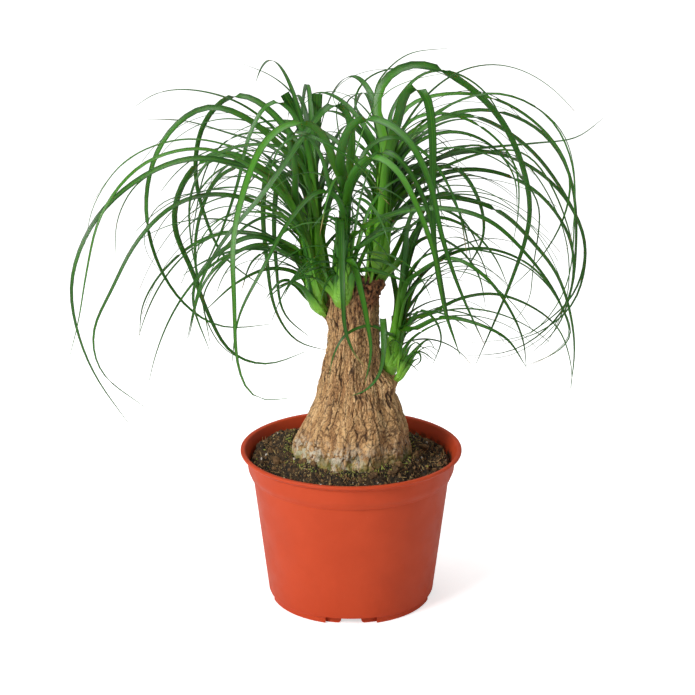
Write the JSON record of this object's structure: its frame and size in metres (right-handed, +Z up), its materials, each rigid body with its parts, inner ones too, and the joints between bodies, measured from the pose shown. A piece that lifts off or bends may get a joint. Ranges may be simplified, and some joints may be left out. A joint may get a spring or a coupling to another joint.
{
  "type": "potted ponytail palm",
  "caption": "House plant with a swollen woody trunk and heads of long narrow arching leaves, standing in soil in a round lipped nursery pot.",
  "frame": {"origin": "on the surface that the pot stands on, under the middle of the pot", "axes": "+Z up the trunk, -Y towards the side seen in the picture, +X to the right of it"},
  "size_m": [0.3771, 0.3041, 0.4056],
  "materials": {
    "pot_plastic": "satin",
    "potting_soil": "matte",
    "bark": "matte",
    "leaf": "satin"
  },
  "bodies": {
    "root": {"pot": "pot_plastic", "soil": "potting_soil", "trunk": "bark", "head_left": "leaf", "head_front": "leaf", "head_back": "leaf", "head_right": "leaf", "head_small": "leaf"}
  },
  "joints": []
}
